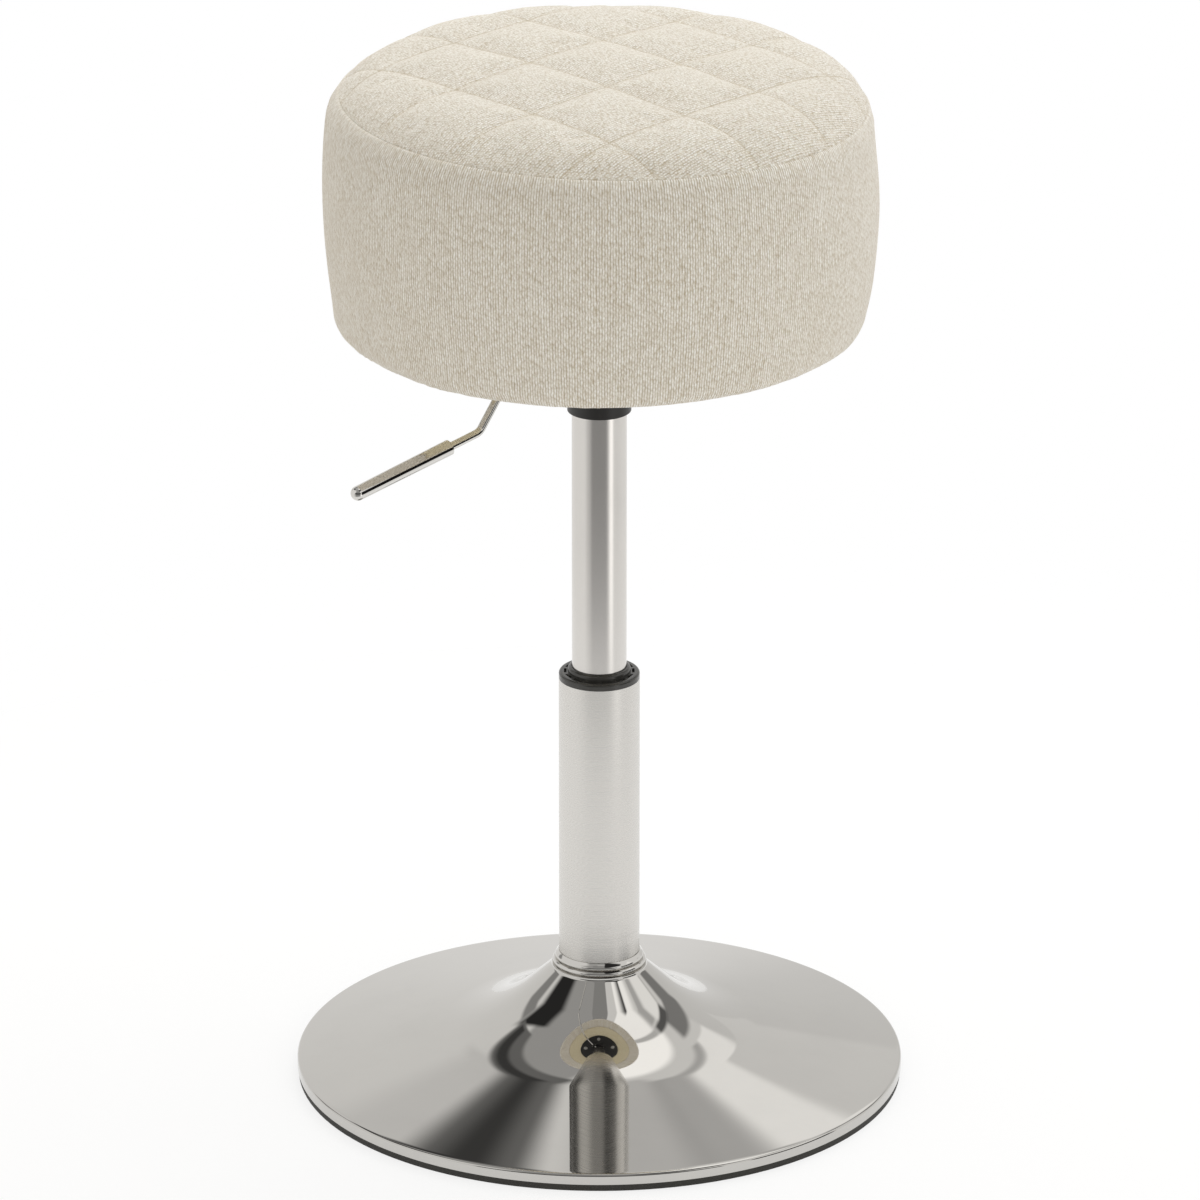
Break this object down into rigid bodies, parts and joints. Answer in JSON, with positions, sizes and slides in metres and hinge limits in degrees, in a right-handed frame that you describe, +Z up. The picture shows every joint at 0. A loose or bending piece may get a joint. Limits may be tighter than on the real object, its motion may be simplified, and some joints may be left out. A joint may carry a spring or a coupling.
{
  "type": "vanity stool",
  "caption": "Round quilted fabric swivel stool on a gas-lift column with a release lever and a chromed trumpet base.",
  "frame": {"origin": "centre of the base on the floor, under the column's axis", "axes": "+Z up along the column, -Y towards the side the picture shows"},
  "size_m": [0.385, 0.385, 0.6761],
  "materials": {
    "chromed_base": "polished",
    "chromed_collar": "polished",
    "brushed_tube": "satin",
    "chromed_cylinder": "satin",
    "chromed_lever": "polished",
    "black_rubber": "matte",
    "black_plastic": "gloss",
    "guide_plastic": "matte",
    "black_steel": "satin",
    "ballast_steel": "matte",
    "plain_steel": "satin",
    "plywood": "matte",
    "foam": "matte",
    "cream_fabric": "matte"
  },
  "bodies": {
    "base": {"base_shell": "chromed_base", "base_gasket": "black_rubber", "base_weight": "ballast_steel", "tube_foot": "ballast_steel", "base_screws": "plain_steel", "outer_tube": "brushed_tube", "column_collar": "chromed_collar", "guide_bush": "guide_plastic", "guide_ring": "black_plastic", "bearing_lower_race": "plain_steel", "bearing_cage": "guide_plastic", "bearing_balls": "plain_steel"},
    "spindle": {"piston_rod": "plain_steel", "bearing_upper_race": "plain_steel", "rod_washer": "plain_steel", "rod_clip": "plain_steel", "bump_stop": "black_rubber", "piston": "plain_steel", "piston_seal": "black_rubber"},
    "seat": {"gas_cylinder": "chromed_cylinder", "rod_gland": "plain_steel", "gland_seal": "black_rubber", "valve_body": "plain_steel", "lift_socket": "black_steel", "mount_plate": "black_steel", "lever_bracket": "black_steel", "lever_pivot_pin": "plain_steel", "mount_bolts": "plain_steel", "mount_washers": "plain_steel", "tee_nuts": "plain_steel", "seat_board": "plywood", "seat_foam": "foam", "seat_side_cover": "cream_fabric", "seat_top_panel": "cream_fabric", "seat_underside_cloth": "cream_fabric", "seat_staples": "plain_steel"},
    "lever": {"lever_rod": "chromed_lever", "lever_hub": "black_steel", "lever_grip": "chromed_lever"},
    "release_pin": {"valve_pin": "plain_steel"}
  },
  "joints": [
    {"name": "seat_swivel", "type": "hinge", "parent": "base", "child": "spindle", "pos_m": [0, 0, 0.0264], "axis": [0, 0, 1], "continuous": true},
    {"name": "seat_height", "type": "slide", "parent": "spindle", "child": "seat", "axis": [0, 0, 1], "range_m": [-0.14, 0]},
    {"name": "lever_tip", "type": "hinge", "parent": "seat", "child": "lever", "pos_m": [-0.02229, -0.02007, 0.49154], "axis": [-0.6691, 0.7431, 0], "range_deg": [0, 7], "stiffness_Nm_per_rad": 3, "springref_deg": -8.59},
    {"name": "pin_press", "type": "slide", "parent": "seat", "child": "release_pin", "axis": [0, 0, 1], "range_m": [-0.004, 0]}
  ],
  "couplings": [
    {"joint": "pin_press", "follows": "lever_tip", "m_per_rad": -0.0315}
  ]
}
